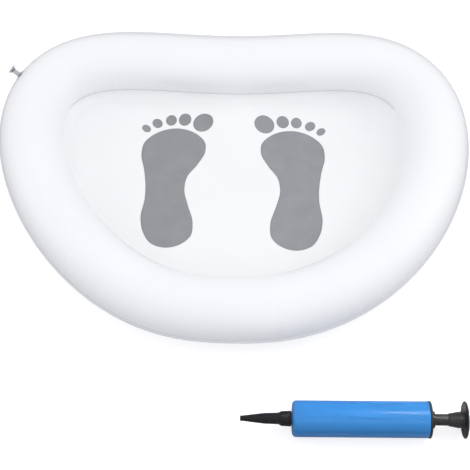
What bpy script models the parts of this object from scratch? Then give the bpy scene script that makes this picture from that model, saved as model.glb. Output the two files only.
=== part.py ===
"""Inflatable foot bath with its hand pump.

The bath is a bean-shaped ring of welded film round a flat floor sheet, with two
footprints on the floor and a plug valve in the ring's back left shoulder.
Units are metres, +Z is up and +Y points to the concave back of the bath.
The origin is on the ground, at the middle of the bath.
"""

import math

import bmesh
import bpy
import numpy as np
from mathutils import Matrix, Vector

# Clearances
GAP = 0.0003                 # between pieces that touch
RUN = 0.0003                 # round a sliding or turning piece

# Bath
BATH_WIDTH = 0.770
BATH_DEPTH = 0.583
TUBE_WIDTH = 0.1016
TUBE_HEIGHT = 0.0914         # of the free tube, before its own weight flattens the bottom
TUBE_PRESS = 0.0015          # how far the bottom is pressed flat
FILM = 0.0005
OUTER_LIP = 0.004            # weld lip that runs round the outside
INNER_LIP = 0.003            # weld lip that holds the floor sheet
FLOOR_BEND = 0.012           # length over which the floor sheet bends down to the ground
SEAM_DEG = 225               # where the inner weld sits on the tube, from the outer side over the top
LIP_INSET = 0.0008           # from the tube to the edge of the floor sheet between the lips

# Bean outline: weights of the first three turns of a closed curve, and of its slight lopsidedness
WIDTH_SHARES = (1, 0.1349, -0.0625)
WIDTH_SKEW_SHARES = (0, -0.0090, 0.0160)
DEPTH_SHARES = (1, -0.0738, -0.1283)
DEPTH_SKEW_SHARES = (0, 0.0016, -0.0057)

# Footprints
FOOT_LENGTH = 0.261
PRINT_THICKNESS = 0.0003
TOE_ROOM = 0.014             # of flat floor behind the toes before the rest is shared
PRINT_PLACE_SHARES = (-0.1373, 0.1325)   # left and right, across the bath's width
HEEL_ROOM_SHARES = (0.6800, 0.6475)      # left and right, of the floor that is left over
PRINT_TURN_DEG = (0, -2.2)
SOLE_SHARES = (
    (0.031, 0.435), (0.161, 0.395), (0.222, 0.322), (0.224, 0.253), (0.180, 0.161),
    (0.111, 0.057), (0.097, -0.038), (0.119, -0.142), (0.153, -0.276), (0.142, -0.372),
    (0.077, -0.433), (-0.015, -0.454), (-0.103, -0.421), (-0.153, -0.337), (-0.169, -0.245),
    (-0.149, -0.096), (-0.148, -0.019), (-0.161, 0.107), (-0.184, 0.238), (-0.169, 0.322),
    (-0.115, 0.383), (-0.038, 0.423))
TOE_PLACE_SHARES = ((0.208, 0.482), (0.089, 0.505), (0.000, 0.500), (-0.090, 0.476), (-0.160, 0.435))
TOE_HALF_SHARES = ((0.062, 0.074), (0.040, 0.049), (0.035, 0.042), (0.032, 0.038), (0.025, 0.033))
TOE_TURN_DEG = (-29, -12, -5, 28, 41)

# Valve
VALVE_TURN_DEG = 294.5       # place along the outline
VALVE_RISE_DEG = 25          # place up the side of the tube
FLANGE_RADIUS = 0.0090
FLANGE_THICKNESS = 0.0008
COLLAR_RADIUS = 0.0056
COLLAR_HEIGHT = 0.0018
STEM_RADIUS = 0.0040
STEM_BORE_RADIUS = 0.0031
STEM_REACH = 0.0150          # from the film to the outer end
STEM_ROOT = 0.0020           # from the film to the inner end
STEM_RIM_RADIUS = 0.0048
STEM_RIM_THICKNESS = 0.0012
STRAP_RING_RADIUS = 0.0052
STRAP_RING_THICKNESS = 0.0012
STRAP_THICKNESS = 0.0010
STRAP_WIDTH = 0.0032
CAP_HEAD_RADIUS = 0.0068
CAP_HEAD_THICKNESS = 0.0024
CAP_EDGE = 0.0005
PLUG_TOP_RADIUS = 0.0028
PLUG_TAPER_SHARE = 0.25      # radius lost for each length of plug
PLUG_LENGTH = 0.0030
FLAP_RADIUS = 0.0036
FLAP_THICKNESS = 0.0005

# Pump, along its own axis from the barrel's front face towards the handle
PUMP_AHEAD = 0.1093          # from the bath's front edge to the pump's axis
PUMP_OFFSET = 0.0838         # from the middle of the bath to the barrel's front face
PUMP_TURN_DEG = -0.5         # the handle lies a little ahead of the nozzle
BARREL_RADIUS = 0.0260
BARREL_WALL = 0.0015
BARREL_LENGTH = 0.1942
BARREL_ROUND = 0.0060
BARREL_END_WALL = 0.0035
BOSS_RADIUS = 0.0092
BOSS_HEIGHT = 0.0010
SPIGOT_RADIUS = 0.0062
SPIGOT_LENGTH = 0.0130
SPIGOT_BORE_RADIUS = 0.0042
SEAT_WALL = 0.0015           # between the check disc and the barrel's inside
PORT_RADIUS = 0.0022
CHECK_RADIUS = 0.0037
CHECK_THICKNESS = 0.0010
CHECK_TRAVEL = 0.0015
INSERT_LENGTH = 0.0050
INSERT_BORE_RADIUS = 0.0024
INSERT_SLOT_WIDTH = 0.0014
INSERT_SLOT_DEPTH = 0.0012

NOZZLE_COLLAR_RADIUS = 0.0112
NOZZLE_COLLAR_LENGTH = 0.0138
NOZZLE_COLLAR_SLIM = 0.0007  # radius lost along the collar
NOZZLE_SHOULDER_LENGTH = 0.0043
NOZZLE_STEM_RADIUS = 0.0082
NOZZLE_STEM_LENGTH = 0.0197
NOZZLE_STEM_SLIM = 0.0005    # radius lost along the stem
NOZZLE_TAPER_LENGTH = 0.0322
NOZZLE_TIP_RADIUS = 0.0038
NOZZLE_TIP_LENGTH = 0.0028
NOZZLE_BORE_RADIUS = 0.0015

END_CAP_RADIUS = 0.0266
END_CAP_THICKNESS = 0.0032
END_CAP_PLUG = 0.0080
END_CAP_EDGE = 0.0008
BUSH_RADIUS = 0.0122
BUSH_THICKNESS = 0.0052
BUSH_SHANK_RADIUS = 0.0100
BUSH_EDGE = 0.0005

ROD_RADIUS = 0.0082
ROD_REACH = 0.0201           # bare rod between the bush and the handle
STUD_RADIUS = 0.0040
RETAINER_RADIUS = 0.0080
RETAINER_THICKNESS = 0.0014
PISTON_THICKNESS = 0.0120
PISTON_CLEAR = 0.0030        # left in front of the pushed-in piston
PISTON_SLACK = 0.0004        # between the piston and the bore
SEAL_RADIUS = 0.0010         # of the round section of the seal ring
SEAL_SLACK = 0.0003          # between the seal and the bore

HANDLE_SKIRT = 0.0005        # wall of the handle where it starts on the rod
HANDLE_FLARE_LENGTH = 0.0135
HANDLE_HUB_RADIUS = 0.0115
HANDLE_LENGTH = 0.0222       # from its start on the rod to the disc
HANDLE_SOCKET_DEPTH = 0.0150
DISC_THICKNESS = 0.0030
DISC_EDGE = 0.0010
DISC_DOME = 0.0008

# Fineness of the meshes
RING_STATIONS = 64
TUBE_STEP_DEG = 18
BEND_STEPS = 3
PUMP_STEPS = 32
SMALL_STEPS = 20
SOLE_STEPS = 3               # along each stretch of a sole's outline
TOE_SIDES = 18
ROUND_STEPS = 4
SEAL_STEPS = 10
SMOOTH_DEG = 35              # edges with a sharper bend stay crisp
OUTLINE_SAMPLES = 1440       # along the outline when it is measured
TURN_STEP_DEG = 0.01         # half the span over which the outline's direction is taken
OVERRUN = 0.0030             # how far a cutter passes the surface that it cuts
MERGE = 0.00001

# Worked out from the sizes above
HALF_TUBE = TUBE_WIDTH / 2
HALF_RISE = TUBE_HEIGHT / 2
TUBE_CENTRE_Z = HALF_RISE - TUBE_PRESS
LIP_RISE = GAP / 2 + FILM     # from the middle of the outer weld to the outside of a lip
LIP_DEG = math.degrees(math.asin(LIP_RISE / HALF_RISE))
SEAM_RISE = FILM / 2 + GAP + FILM    # from the middle of the inner weld to the outside of a lip
PUMP_Y = -(BATH_DEPTH / 2 + PUMP_AHEAD)
BARREL_BORE_RADIUS = BARREL_RADIUS - BARREL_WALL
CHAMBER_TOP = BARREL_END_WALL - SEAT_WALL
INSERT_TOP = CHAMBER_TOP - GAP - CHECK_THICKNESS - CHECK_TRAVEL - GAP
NOZZLE_TOP = -BOSS_HEIGHT - GAP
CAP_FACE = BARREL_LENGTH + GAP
CAP_TOP = CAP_FACE + END_CAP_THICKNESS
CAP_INNER = BARREL_LENGTH - END_CAP_PLUG
BUSH_TOP = CAP_TOP + GAP + BUSH_THICKNESS
RETAINER_FRONT = BARREL_END_WALL + PISTON_CLEAR
PISTON_FRONT = RETAINER_FRONT + RETAINER_THICKNESS + GAP
PISTON_BACK = PISTON_FRONT + PISTON_THICKNESS
HANDLE_START = BUSH_TOP + ROD_REACH
SOCKET_END = HANDLE_START + HANDLE_SOCKET_DEPTH
DISC_FACE = HANDLE_START + HANDLE_LENGTH
DISC_RADIUS = END_CAP_RADIUS  # the lying pump rests on both
STRAP_RING_TOP = STEM_REACH - STEM_RIM_THICKNESS - GAP
CAP_PIVOT_RADIUS = STRAP_RING_RADIUS + GAP + STRAP_THICKNESS / 2
CAP_PIVOT_HEIGHT = STRAP_RING_TOP - STRAP_RING_THICKNESS / 2
HEAD_UNDERSIDE = STEM_REACH + GAP
FLAP_TOP = -STEM_ROOT - GAP
FLAP_PIVOT = FLAP_TOP - FLAP_THICKNESS / 2

# Finishes: colour, roughness, metallic
FINISHES = {
    "white_film": ((0.86, 0.86, 0.88), 0.35, 0),
    "grey_print": ((0.29, 0.30, 0.32), 0.45, 0),
    "clear_vinyl": ((0.55, 0.57, 0.60), 0.15, 0),
    "blue_barrel": ((0.045, 0.24, 0.62), 0.25, 0),
    "black_plastic": ((0.012, 0.012, 0.014), 0.35, 0),
    "black_rubber": ((0.020, 0.020, 0.020), 0.80, 0),
    "grey_plastic": ((0.35, 0.36, 0.38), 0.40, 0),
}


def clear_scene():
    for old in list(bpy.data.objects):
        bpy.data.objects.remove(old)


def make_collection(name):
    collection = bpy.data.collections.new(name)
    bpy.context.scene.collection.children.link(collection)
    return collection


def paint(obj, finish):
    """Give the object its own material in the named finish."""
    colour, roughness, metallic = FINISHES[finish]
    material = bpy.data.materials.new(obj.name + "_" + finish)
    material.use_nodes = True
    shader = material.node_tree.nodes["Principled BSDF"]
    shader.inputs["Base Color"].default_value = (*colour, 1)
    shader.inputs["Roughness"].default_value = roughness
    shader.inputs["Metallic"].default_value = metallic
    material.diffuse_color = (*colour, 1)
    obj.data.materials.append(material)


def add_object(name, data, finish, parent=None):
    obj = bpy.data.objects.new(name, data)
    parts.objects.link(obj)
    obj.parent = parent
    paint(obj, finish)
    return obj


def add_empty(name, matrix, parent=None):
    empty = bpy.data.objects.new(name, None)
    parts.objects.link(empty)
    empty.parent = parent
    empty.matrix_local = matrix
    return empty


def mesh_from(bm, name):
    mesh = bpy.data.meshes.new(name)
    bm.to_mesh(mesh)
    bm.free()
    return mesh


def smooth(obj):
    obj.data.shade_smooth()
    obj.data.set_sharp_from_angle(angle=math.radians(SMOOTH_DEG))


def turned(name, profile, finish, parent, steps=PUMP_STEPS):
    """A solid of revolution about local Z; the profile runs down its outer side."""
    on_axis = profile[0][0] == 0 and profile[-1][0] == 0
    count = len(profile)
    edges = [(i, (i + 1) % count) for i in range(count - 1 if on_axis else count)]
    mesh = bpy.data.meshes.new(name)
    mesh.from_pydata([(radius, 0, height) for radius, height in profile], edges, [])
    obj = add_object(name, mesh, finish, parent)
    screw = obj.modifiers.new("turn", "SCREW")
    screw.steps = steps
    screw.render_steps = steps
    screw.use_merge_vertices = True
    screw.merge_threshold = MERGE
    screw.use_smooth_shade = True
    obj.modifiers.new("crisp_ends", "WEIGHTED_NORMAL")
    return obj


def arc(centre, radius, start_deg, end_deg, steps=ROUND_STEPS):
    """Points of a round corner in a profile, both ends included."""
    angles = [math.radians(start_deg + (end_deg - start_deg) * i / steps) for i in range(steps + 1)]
    return [(centre[0] + radius * math.cos(a), centre[1] + radius * math.sin(a)) for a in angles]


def cut(obj, cutter, operation="DIFFERENCE"):
    boolean = obj.modifiers.new(cutter.name, "BOOLEAN")
    boolean.operation = operation
    boolean.solver = "EXACT"
    boolean.object = cutter


def add_cutter(name, bm, parent):
    cutter = bpy.data.objects.new(name, mesh_from(bm, name))
    cutters.objects.link(cutter)
    cutter.parent = parent
    cutter.hide_render = True
    cutter.display_type = "WIRE"
    return cutter


# Bean outline

def raw_outline(turn):
    """The closed curve before it is sized, at an array of turns in radians."""
    order = np.arange(1, len(WIDTH_SHARES) + 1)[:, None]
    sines, cosines = np.sin(order * turn), np.cos(order * turn)
    across = np.array(WIDTH_SHARES) @ sines + np.array(WIDTH_SKEW_SHARES) @ cosines
    along = np.array(DEPTH_SHARES) @ cosines + np.array(DEPTH_SKEW_SHARES) @ sines
    return np.stack([across, along], axis=1)


def centreline(turn):
    """The tube's centreline, sized so that the welded lip fills the bath's width and depth."""
    dense = raw_outline(np.linspace(0, 2 * math.pi, OUTLINE_SAMPLES))
    low, high = dense.min(axis=0), dense.max(axis=0)
    border = 2 * (HALF_TUBE + OUTER_LIP)
    size = np.array([BATH_WIDTH - border, BATH_DEPTH - border])
    return (raw_outline(turn) - (low + high) / 2) / (high - low) * size


def outline_frames(turn):
    """Centreline points and their outward unit normals at an array of turns."""
    step = math.radians(TURN_STEP_DEG)
    along = centreline(turn + step) - centreline(turn - step)
    normals = np.stack([-along[:, 1], along[:, 0]], axis=1)
    normals /= np.linalg.norm(normals, axis=1)[:, None]
    return centreline(turn), normals


def even_turns(count):
    """Turns that divide the centreline into equal lengths."""
    dense = np.linspace(0, 2 * math.pi, OUTLINE_SAMPLES)
    steps = np.linalg.norm(np.diff(centreline(dense), axis=0), axis=1)
    length = np.concatenate([[0], np.cumsum(steps)])
    return np.interp(np.arange(count) / count * length[-1], length, dense)


def tube_point(angle_deg):
    """Reach from the centreline and height of the tube's outside, from its outer side over the top."""
    angle = math.radians(angle_deg)
    height = TUBE_CENTRE_Z + HALF_RISE * math.sin(angle)
    return HALF_TUBE * math.cos(angle), max(height, 0)


def tube_normal(angle_deg):
    angle = math.radians(angle_deg)
    normal = Vector((math.cos(angle) / HALF_TUBE, math.sin(angle) / HALF_RISE))
    return normal.normalized()


def ring_mesh(profile, fill_start=False):
    """A surface that follows a profile of reaches and heights all round the outline."""
    points, normals = outline_frames(even_turns(RING_STATIONS))
    bm = bmesh.new()
    rows = []
    for reach, height in profile:
        flat = points + normals * reach
        rows.append([bm.verts.new((x, y, height)) for x, y in flat])
    for row, after in zip(rows, rows[1:]):
        for i in range(RING_STATIONS):
            j = (i + 1) % RING_STATIONS
            bm.faces.new((row[i], after[i], after[j], row[j]))
    if fill_start:
        bm.faces.new(rows[0])
    return bm


def add_wall(obj, thickness):
    wall = obj.modifiers.new("wall", "SOLIDIFY")
    wall.thickness = thickness
    wall.offset = -1
    wall.use_even_offset = True


def build_film(name, bm):
    obj = add_object(name, mesh_from(bm, name), "white_film")
    add_wall(obj, FILM)
    smooth(obj)
    return obj


def seam_layers():
    """Inner weld: where it starts, the way its lips run, and the way up through its layers."""
    start = Vector(tube_point(SEAM_DEG))
    outward = tube_normal(SEAM_DEG)
    upward = Vector((outward.y, -outward.x))
    return start, outward, upward


def build_ring_top_skin():
    start, outward, upward = seam_layers()
    edge = start + upward * SEAM_RISE
    profile = [(HALF_TUBE + OUTER_LIP, TUBE_CENTRE_Z + LIP_RISE), tube_point(LIP_DEG)]
    profile += [tube_point(a) for a in range(TUBE_STEP_DEG, SEAM_DEG - TUBE_STEP_DEG // 2, TUBE_STEP_DEG)]
    profile += [tuple(edge), tuple(edge + outward * INNER_LIP)]
    return build_film("ring_top_skin", ring_mesh(profile))


def build_ring_bottom_skin():
    start, outward, upward = seam_layers()
    edge = start - upward * SEAM_RISE
    corner_deg = 360 - LIP_DEG
    pressed_deg = math.degrees(math.acos(TUBE_CENTRE_Z / HALF_RISE))
    below = [270 - pressed_deg - TUBE_STEP_DEG, 270 - pressed_deg, 270 + pressed_deg]
    last_deg = int(corner_deg) - TUBE_STEP_DEG // 2
    rising = range(int(270 + pressed_deg) + TUBE_STEP_DEG, last_deg, TUBE_STEP_DEG)
    profile = [tuple(edge + outward * INNER_LIP), tuple(edge)]
    profile += [tube_point(a) for a in [*below, *rising]]
    profile += [tube_point(corner_deg), (HALF_TUBE + OUTER_LIP, TUBE_CENTRE_Z - LIP_RISE)]
    return build_film("ring_bottom_skin", ring_mesh(profile))


def sheet_border():
    """Underside of the floor sheet's border, from the flat ground up to the inner weld."""
    start, outward, upward = seam_layers()
    underside = start - upward * (FILM / 2)
    to_ground = underside.y / -outward.y
    knee = underside + outward * to_ground
    bend_top = knee - outward * FLOOR_BEND
    bend_end = Vector((knee.x - FLOOR_BEND, 0))
    bend = []
    for i in range(BEND_STEPS + 1):
        t = i / BEND_STEPS
        bend.append(bend_end * (1 - t) ** 2 + knee * (2 * t * (1 - t)) + bend_top * t ** 2)
    return bend + [underside + outward * LIP_INSET]


def raised(border, distance):
    """The border moved square to its run, with mitred corners."""
    runs = [(after - before).normalized() for before, after in zip(border, border[1:])]
    moved = []
    for point, before, after in zip(border, [Vector((1, 0)), *runs], [*runs, runs[-1]]):
        mitre = (before + after).normalized()
        square = Vector((-mitre.y, mitre.x))
        moved.append(point + square * (distance / mitre.dot(after)))
    return moved


# Footprints

def floor_span(x):
    """Front and back of the flat floor where a line at x crosses it."""
    points, normals = outline_frames(np.linspace(0, 2 * math.pi, OUTLINE_SAMPLES))
    edge = points + normals * sheet_border()[0].x
    halves = (edge[edge[:, 1] < 0], edge[edge[:, 1] > 0])
    return [half[np.argmin(abs(half[:, 0] - x)), 1] for half in halves]


def print_matrix(place_share, heel_room_share, turn_deg):
    """Turns one footprint and places it between the floor's front and back."""
    x = BATH_WIDTH * place_share
    front, back = floor_span(x)
    heel_room = (back - front - FOOT_LENGTH - TOE_ROOM) * heel_room_share
    place = Matrix.Translation((x, front + heel_room + FOOT_LENGTH / 2, 0))
    return place @ Matrix.Rotation(math.radians(turn_deg), 4, "Z")


def sole_outline():
    """Closed curve through the sole's points, each stretch a cubic led by the points beside it."""
    here = np.array(SOLE_SHARES)[:, None]
    before, after, beyond = (np.roll(here, shift, axis=0) for shift in (1, -1, -2))
    t = (np.arange(SOLE_STEPS) / SOLE_STEPS)[:, None]
    slope = after - before
    bow = 2 * before - 5 * here + 4 * after - beyond
    twist = 3 * here - before - 3 * after + beyond
    return (here + (slope * t + bow * t ** 2 + twist * t ** 3) / 2).reshape(-1, 2)


def toe_outline(place_shares, half_shares, turn_deg):
    around = np.arange(TOE_SIDES) / TOE_SIDES * 2 * math.pi
    x, y = half_shares[0] * np.cos(around), half_shares[1] * np.sin(around)
    turn = math.radians(turn_deg)
    turned_x = x * math.cos(turn) - y * math.sin(turn)
    turned_y = x * math.sin(turn) + y * math.cos(turn)
    return np.stack([turned_x, turned_y], axis=1) + place_shares


def build_print(name, outline, foot, layer):
    """A tall prism over the outline, cut down to the layer just above the floor sheet."""
    bm = bmesh.new()
    face = bm.faces.new([bm.verts.new((x, y, -HALF_RISE)) for x, y in outline])
    grown = bmesh.ops.extrude_face_region(bm, geom=[face])
    moved = [item for item in grown["geom"] if isinstance(item, bmesh.types.BMVert)]
    bmesh.ops.translate(bm, verts=moved, vec=(0, 0, TUBE_HEIGHT))
    bmesh.ops.recalc_face_normals(bm, faces=bm.faces)
    cut(add_object(name, mesh_from(bm, name), "grey_print", foot), layer, "INTERSECT")


def build_footprints(layer):
    places = zip(PRINT_PLACE_SHARES, HEEL_ROOM_SHARES, PRINT_TURN_DEG)
    for side, hand, place in zip(("left", "right"), (1, -1), places):
        foot = add_empty(side + "_footprint", print_matrix(*place))
        size = np.array([hand, 1]) * FOOT_LENGTH
        build_print(side + "_sole_print", sole_outline() * size, foot, layer)
        toes = zip(TOE_PLACE_SHARES, TOE_HALF_SHARES, TOE_TURN_DEG)
        for number, toe in enumerate(toes, 1):
            build_print(f"{side}_toe_print_{number}", toe_outline(*toe) * size, foot, layer)


# Valve

def valve_matrix():
    """Frame of the valve: Z out of the tube, X down its side, origin on the film."""
    point, normal = outline_frames(np.array([math.radians(VALVE_TURN_DEG)]))
    reach, height = tube_point(VALVE_RISE_DEG)
    out, rise = tube_normal(VALVE_RISE_DEG)
    nx, ny = normal[0]
    origin = Vector((point[0][0] + nx * reach, point[0][1] + ny * reach, height))
    z_axis = Vector((nx * out, ny * out, rise))
    x_axis = Vector((nx * rise, ny * rise, -out))
    y_axis = z_axis.cross(x_axis)
    frame = Matrix((x_axis, y_axis, z_axis)).transposed().to_4x4()
    frame.translation = origin
    return frame


def build_valve_flange(valve, top_skin):
    foot = GAP
    bore = STEM_RADIUS + RUN
    profile = [(COLLAR_RADIUS, COLLAR_HEIGHT), (COLLAR_RADIUS, foot + FLANGE_THICKNESS),
               (FLANGE_RADIUS, foot + FLANGE_THICKNESS / 2), (FLANGE_RADIUS, foot),
               (bore, foot), (bore, COLLAR_HEIGHT)]
    turned("valve_flange", profile, "clear_vinyl", valve, SMALL_STEPS)
    bm = bmesh.new()
    bmesh.ops.create_cone(bm, cap_ends=True, segments=SMALL_STEPS, radius1=bore, radius2=bore,
                          depth=2 * OVERRUN)
    cut(top_skin, add_cutter("valve_hole", bm, valve))


def build_valve_stem(valve):
    rim_foot = STEM_REACH - STEM_RIM_THICKNESS
    profile = [(STEM_RIM_RADIUS, STEM_REACH), (STEM_RIM_RADIUS, rim_foot), (STEM_RADIUS, rim_foot),
               (STEM_RADIUS, -STEM_ROOT), (STEM_BORE_RADIUS, -STEM_ROOT), (STEM_BORE_RADIUS, STEM_REACH)]
    turned("valve_stem", profile, "clear_vinyl", valve, SMALL_STEPS)
    ring_bore = STEM_RADIUS + GAP
    ring_foot = STRAP_RING_TOP - STRAP_RING_THICKNESS
    ring = [(STRAP_RING_RADIUS, STRAP_RING_TOP), (STRAP_RING_RADIUS, ring_foot),
            (ring_bore, ring_foot), (ring_bore, STRAP_RING_TOP)]
    turned("strap_ring", ring, "clear_vinyl", valve, SMALL_STEPS)


def build_valve_cap(valve):
    """Head and tapered plug, with the strap that joins them to the ring on the stem."""
    pivot = add_empty("cap_pivot", Matrix.Translation((CAP_PIVOT_RADIUS, 0, CAP_PIVOT_HEIGHT)), valve)
    top = HEAD_UNDERSIDE + CAP_HEAD_THICKNESS
    plug_end = HEAD_UNDERSIDE - PLUG_LENGTH
    plug_end_radius = PLUG_TOP_RADIUS - PLUG_TAPER_SHARE * PLUG_LENGTH
    profile = [(0, top), (CAP_HEAD_RADIUS - CAP_EDGE, top), (CAP_HEAD_RADIUS, top - CAP_EDGE),
               (CAP_HEAD_RADIUS, HEAD_UNDERSIDE), (PLUG_TOP_RADIUS, HEAD_UNDERSIDE),
               (plug_end_radius, plug_end), (0, plug_end)]
    cap = turned("valve_cap", profile, "clear_vinyl", pivot, SMALL_STEPS)
    cap.location = (-CAP_PIVOT_RADIUS, 0, -CAP_PIVOT_HEIGHT)
    bm = bmesh.new()
    half = STRAP_THICKNESS / 2
    leg_top = HEAD_UNDERSIDE + CAP_HEAD_THICKNESS / 2 - CAP_PIVOT_HEIGHT
    side = [(half, leg_top)] + arc((0, 0), half, 0, -180) + [(-half, leg_top)]
    verts = [bm.verts.new((x, -STRAP_WIDTH / 2, z)) for x, z in side]
    face = bm.faces.new(verts)
    grown = bmesh.ops.extrude_face_region(bm, geom=[face])
    moved = [item for item in grown["geom"] if isinstance(item, bmesh.types.BMVert)]
    bmesh.ops.translate(bm, verts=moved, vec=(0, STRAP_WIDTH, 0))
    bmesh.ops.recalc_face_normals(bm, faces=bm.faces)
    cut(cap, add_cutter("cap_strap", bm, pivot), "UNION")


def build_valve_flap(valve):
    """Thin disc that covers the stem's inner end and swings inwards."""
    pivot = add_empty("flap_pivot", Matrix.Translation((-FLAP_RADIUS, 0, FLAP_PIVOT)), valve)
    half = FLAP_THICKNESS / 2
    profile = [(0, half), (FLAP_RADIUS, half), (FLAP_RADIUS, -half), (0, -half)]
    flap = turned("valve_flap", profile, "clear_vinyl", pivot, SMALL_STEPS)
    flap.location.x = FLAP_RADIUS


# Pump

def build_barrel(pump):
    corner = (BARREL_RADIUS - BARREL_ROUND, BARREL_ROUND)
    profile = [(BARREL_RADIUS, BARREL_LENGTH)]
    profile += arc(corner, BARREL_ROUND, 0, -90)
    profile += [(BOSS_RADIUS, 0), (BOSS_RADIUS, -BOSS_HEIGHT), (SPIGOT_RADIUS, -BOSS_HEIGHT),
                (SPIGOT_RADIUS, -SPIGOT_LENGTH), (SPIGOT_BORE_RADIUS, -SPIGOT_LENGTH),
                (SPIGOT_BORE_RADIUS, CHAMBER_TOP), (PORT_RADIUS, CHAMBER_TOP),
                (PORT_RADIUS, BARREL_END_WALL)]
    inner_round = BARREL_ROUND - BARREL_WALL
    inner_corner = (BARREL_BORE_RADIUS - inner_round, BARREL_END_WALL + inner_round)
    profile += arc(inner_corner, inner_round, -90, 0, ROUND_STEPS // 2)
    profile += [(BARREL_BORE_RADIUS, BARREL_LENGTH)]
    turned("pump_barrel", profile, "blue_barrel", pump)


def build_outlet_check(pump):
    top = CHAMBER_TOP - GAP
    disc = [(0, top), (CHECK_RADIUS, top), (CHECK_RADIUS, top - CHECK_THICKNESS),
            (0, top - CHECK_THICKNESS)]
    turned("outlet_check_disc", disc, "black_rubber", pump, SMALL_STEPS)
    outer = SPIGOT_BORE_RADIUS - GAP
    foot = INSERT_TOP - INSERT_LENGTH
    ring = [(outer, INSERT_TOP), (outer, foot), (INSERT_BORE_RADIUS, foot),
            (INSERT_BORE_RADIUS, INSERT_TOP)]
    insert = turned("outlet_insert", ring, "grey_plastic", pump, SMALL_STEPS)
    bm = bmesh.new()
    size = Matrix.Diagonal((2 * (outer + OVERRUN), INSERT_SLOT_WIDTH, 2 * INSERT_SLOT_DEPTH, 1))
    bmesh.ops.create_cube(bm, size=1, matrix=Matrix.Translation((0, 0, INSERT_TOP)) @ size)
    cut(insert, add_cutter("insert_slot", bm, pump))


def build_nozzle(pump):
    collar_foot = NOZZLE_TOP - NOZZLE_COLLAR_LENGTH
    stem_top = collar_foot - NOZZLE_SHOULDER_LENGTH
    stem_foot = stem_top - NOZZLE_STEM_LENGTH
    tip_top = stem_foot - NOZZLE_TAPER_LENGTH
    tip_end = tip_top - NOZZLE_TIP_LENGTH
    socket = SPIGOT_RADIUS + GAP
    socket_end = -SPIGOT_LENGTH - GAP
    profile = [(NOZZLE_COLLAR_RADIUS, NOZZLE_TOP), (NOZZLE_COLLAR_RADIUS - NOZZLE_COLLAR_SLIM, collar_foot),
               (NOZZLE_STEM_RADIUS, stem_top), (NOZZLE_STEM_RADIUS - NOZZLE_STEM_SLIM, stem_foot),
               (NOZZLE_TIP_RADIUS, tip_top), (NOZZLE_TIP_RADIUS, tip_end),
               (NOZZLE_BORE_RADIUS, tip_end), (NOZZLE_BORE_RADIUS, stem_foot),
               (SPIGOT_BORE_RADIUS, socket_end), (socket, socket_end), (socket, NOZZLE_TOP)]
    turned("nozzle", profile, "black_plastic", pump, SMALL_STEPS)


def build_end_cap(pump):
    plug = BARREL_BORE_RADIUS - GAP
    hole = BUSH_SHANK_RADIUS + GAP
    profile = [(END_CAP_RADIUS - END_CAP_EDGE, CAP_TOP), (END_CAP_RADIUS, CAP_TOP - END_CAP_EDGE),
               (END_CAP_RADIUS, CAP_FACE), (plug, CAP_FACE), (plug, CAP_INNER), (hole, CAP_INNER),
               (hole, CAP_TOP)]
    turned("pump_end_cap", profile, "black_plastic", pump)
    bore = ROD_RADIUS + RUN
    flange_foot = CAP_TOP + GAP
    bush = [(BUSH_RADIUS - BUSH_EDGE, BUSH_TOP), (BUSH_RADIUS, BUSH_TOP - BUSH_EDGE),
            (BUSH_RADIUS, flange_foot), (BUSH_SHANK_RADIUS, flange_foot), (BUSH_SHANK_RADIUS, CAP_INNER),
            (bore, CAP_INNER), (bore, BUSH_TOP)]
    turned("rod_bush", bush, "black_plastic", pump)


def build_piston(pump):
    """Piston head with a round seal ring in its groove."""
    radius = BARREL_BORE_RADIUS - PISTON_SLACK
    seal_middle = BARREL_BORE_RADIUS - SEAL_SLACK - SEAL_RADIUS
    groove = seal_middle - SEAL_RADIUS - GAP
    half = SEAL_RADIUS + GAP
    bore = STUD_RADIUS + RUN
    middle = PISTON_FRONT + PISTON_THICKNESS / 2
    profile = [(radius, PISTON_BACK), (radius, middle + half), (groove, middle + half),
               (groove, middle - half), (radius, middle - half), (radius, PISTON_FRONT),
               (bore, PISTON_FRONT), (bore, PISTON_BACK)]
    turned("piston_head", profile, "grey_plastic", pump)
    section = arc((seal_middle, middle), SEAL_RADIUS, 90, -270, SEAL_STEPS)
    turned("piston_seal", section[:-1], "black_rubber", pump)


def build_plunger(pump):
    stud_end = RETAINER_FRONT - GAP
    shoulder = PISTON_BACK + GAP
    rod_end = SOCKET_END - GAP
    rod = [(0, rod_end), (ROD_RADIUS, rod_end), (ROD_RADIUS, shoulder), (STUD_RADIUS, shoulder),
           (STUD_RADIUS, stud_end), (0, stud_end)]
    turned("plunger_rod", rod, "black_plastic", pump)
    hole = STUD_RADIUS + GAP
    back = RETAINER_FRONT + RETAINER_THICKNESS
    retainer = [(RETAINER_RADIUS, back), (RETAINER_RADIUS, RETAINER_FRONT), (hole, RETAINER_FRONT),
                (hole, back)]
    turned("rod_retainer", retainer, "grey_plastic", pump, SMALL_STEPS)


def build_handle(pump):
    socket = ROD_RADIUS + GAP
    start_radius = socket + HANDLE_SKIRT
    top = DISC_FACE + DISC_THICKNESS
    flare_end = HANDLE_START + HANDLE_FLARE_LENGTH
    flare_middle = (flare_end + HANDLE_START) / 2
    flare_radius = (start_radius + HANDLE_HUB_RADIUS) / 2
    profile = [(0, top + DISC_DOME), (DISC_RADIUS / 2, top + DISC_DOME / 2),
               (DISC_RADIUS - DISC_EDGE, top), (DISC_RADIUS, top - DISC_EDGE),
               (DISC_RADIUS, DISC_FACE + DISC_EDGE), (DISC_RADIUS - DISC_EDGE, DISC_FACE),
               (HANDLE_HUB_RADIUS, DISC_FACE), (HANDLE_HUB_RADIUS, flare_end),
               (flare_radius, flare_middle), (start_radius, HANDLE_START), (socket, HANDLE_START),
               (socket, SOCKET_END), (0, SOCKET_END)]
    turned("plunger_handle", profile, "black_plastic", pump)


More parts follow.
